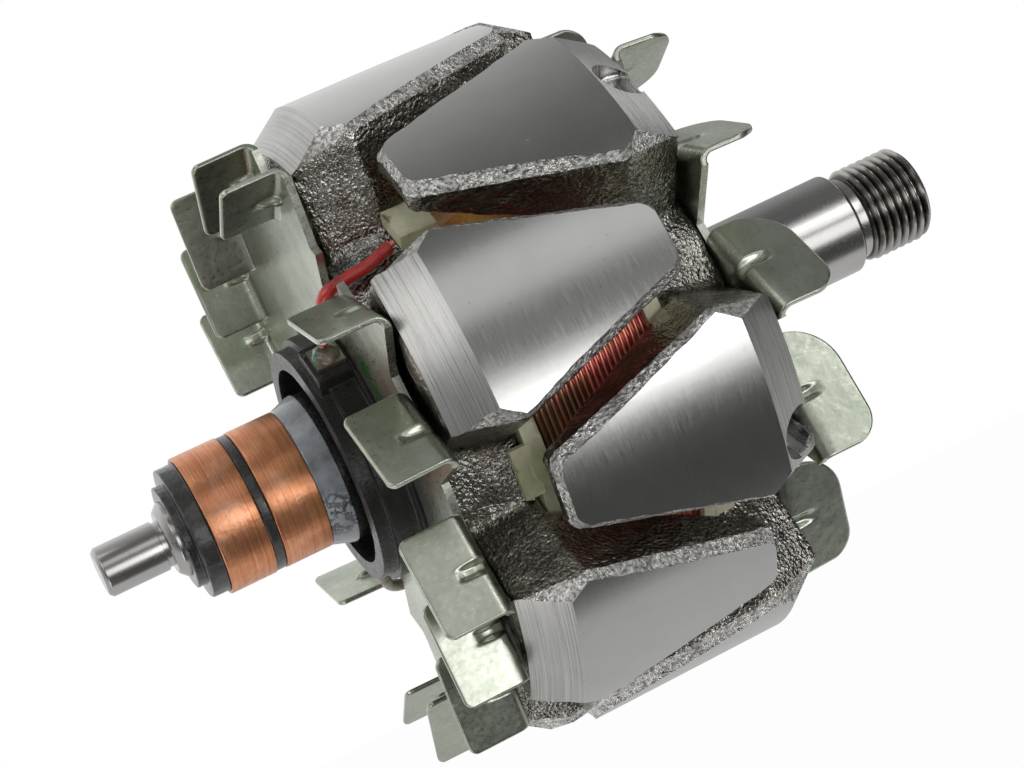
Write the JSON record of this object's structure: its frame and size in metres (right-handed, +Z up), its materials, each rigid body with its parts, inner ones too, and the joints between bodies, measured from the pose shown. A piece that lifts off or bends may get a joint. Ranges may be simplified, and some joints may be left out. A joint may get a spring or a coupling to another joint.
{
  "type": "alternator rotor",
  "caption": "Claw-pole rotor for a vehicle alternator: a wound field coil between interleaved steel claws, with a fan at each end, slip rings at one end of the shaft and a thread at the other.",
  "frame": {"origin": "the middle of the shaft, on its axis, which is also the middle of the whole rotor", "axes": "+X along the shaft from the slip rings to the thread, +Z up, +Y completes the frame"},
  "size_m": [0.1456, 0.1064, 0.1064],
  "materials": {
    "ground_steel": "ground, bright",
    "forged_steel": "rough forged sides with bright turned faces",
    "nylon": "cream with a green tint",
    "enamelled_wire": "dark red enamel, glossy",
    "varnished_tape": "amber varnish",
    "zinc_plate": "dull zinc, slightly green",
    "ring_copper": "satin copper",
    "black_moulding": "satin black",
    "collar_resin": "glossy blue-grey",
    "guard_moulding": "black",
    "conductor_copper": "plain copper",
    "terminal_plate": "tinned copper",
    "solder": "solder under dark varnish",
    "lead_sleeve": "dark red varnished sleeve",
    "lead_wire": "enamelled copper"
  },
  "bodies": {
    "root": {"shaft": "ground_steel", "rear_pole": "forged_steel", "front_pole": "forged_steel", "bobbin": "nylon", "field_coil": "enamelled_wire", "start_lead_tape": "varnished_tape", "finish_lead_tape": "varnished_tape", "rear_fan": "zinc_plate", "front_fan": "zinc_plate", "outer_slip_ring": "ring_copper", "inner_slip_ring": "ring_copper", "slip_ring_moulding": "black_moulding", "ring_collar": "collar_resin", "guard_ring": "guard_moulding", "outer_ring_lead": "conductor_copper", "inner_ring_lead": "conductor_copper", "start_terminal": "terminal_plate", "finish_terminal": "terminal_plate", "start_solder_bead": "solder", "finish_solder_bead": "solder", "start_lead_sleeve": "lead_sleeve", "finish_lead_sleeve": "lead_sleeve", "start_lead_wire": "lead_wire", "finish_lead_wire": "lead_wire"}
  },
  "joints": []
}
